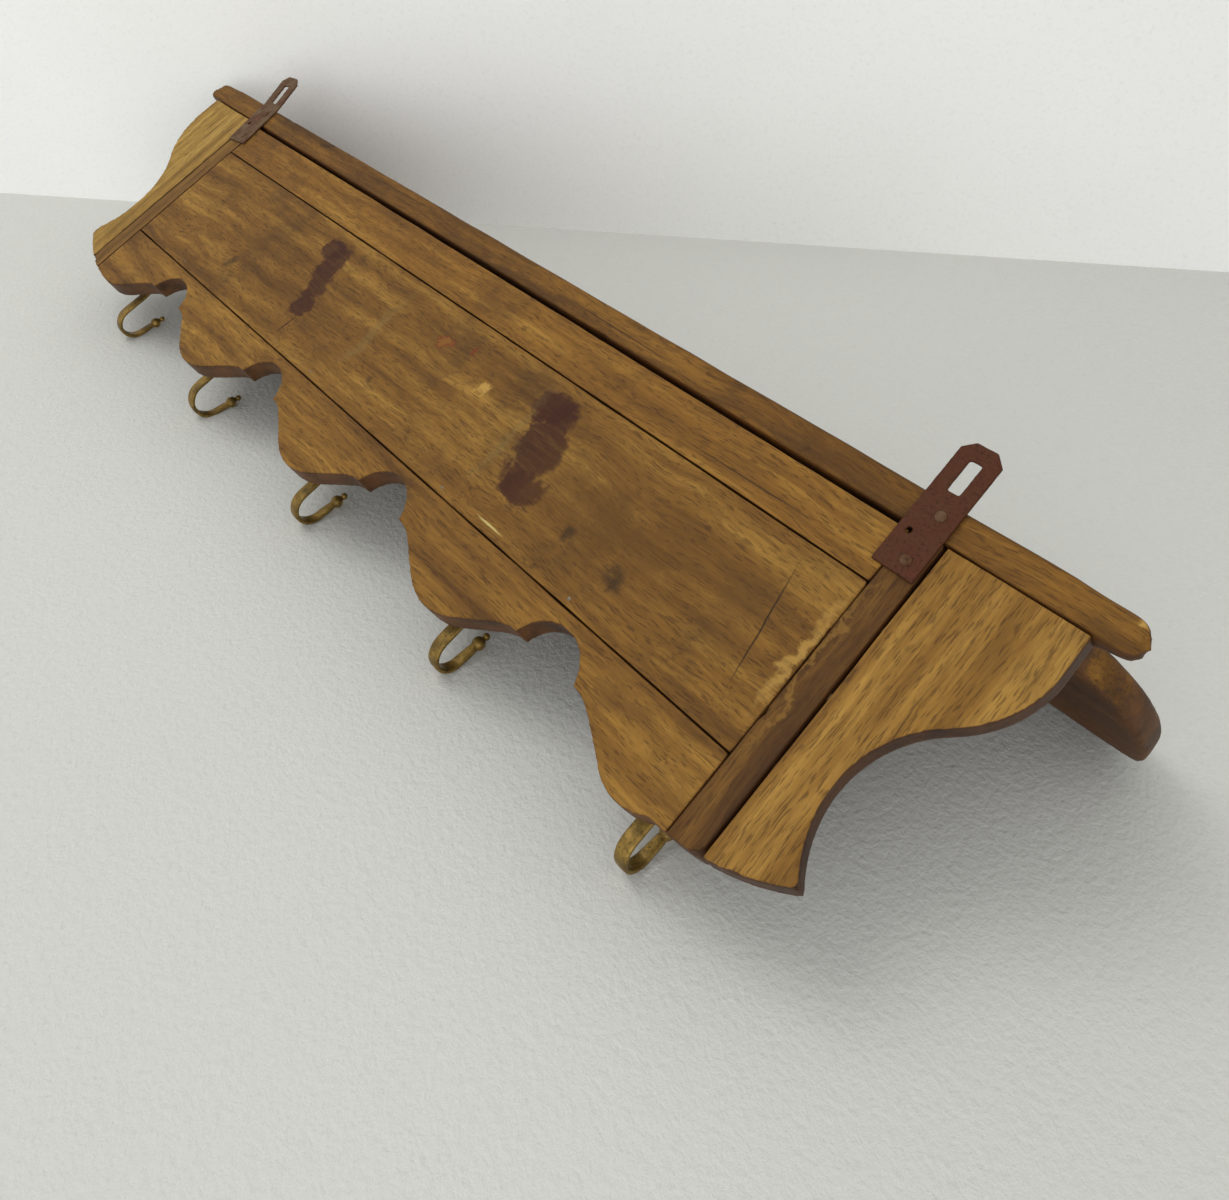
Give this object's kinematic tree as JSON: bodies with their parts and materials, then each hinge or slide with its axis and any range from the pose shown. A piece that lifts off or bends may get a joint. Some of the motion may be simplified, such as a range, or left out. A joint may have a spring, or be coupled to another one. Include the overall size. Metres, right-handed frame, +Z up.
{
  "type": "wall hook rack",
  "caption": "Wooden wall rack with a shelf, a framed back board with a scalloped foot, shaped side boards and brass coat hooks, hung from slotted iron plates.",
  "frame": {"origin": "on the plane of the wooden back, on the rack's centre line, level with the middle of the slots in the hanger plates", "axes": "+X along the rack to the right as seen from the room, +Y out of the back into the wall, +Z up"},
  "size_m": [0.948, 0.167, 0.2666],
  "materials": {
    "oiled_oak": "old oil and wax, stained on the front",
    "dark_oak": "dark stain, bare and weathered at the back",
    "dry_oak": "bare, dry wood with a stained front",
    "old_brass": "cast, dulled and tarnished",
    "rusty_iron": "rusted sheet",
    "old_steel": "dull steel",
    "beech": "plain"
  },
  "bodies": {
    "root": {"shelf": "oiled_oak", "top_rail": "oiled_oak", "back_panel": "oiled_oak", "bottom_rail": "oiled_oak", "bracket_left": "dark_oak", "bracket_right": "dark_oak", "wing_left": "dry_oak", "wing_right": "dry_oak", "hook_1": "old_brass", "hook_2": "old_brass", "hook_3": "old_brass", "hook_4": "old_brass", "hook_5": "old_brass", "hanger_left": "rusty_iron", "hanger_right": "rusty_iron", "hanger_nails": "rusty_iron", "hook_screws": "old_brass", "shelf_screws": "old_steel", "rail_dowels": "beech", "wing_dowels": "beech", "panel_pins": "old_steel"}
  },
  "joints": []
}
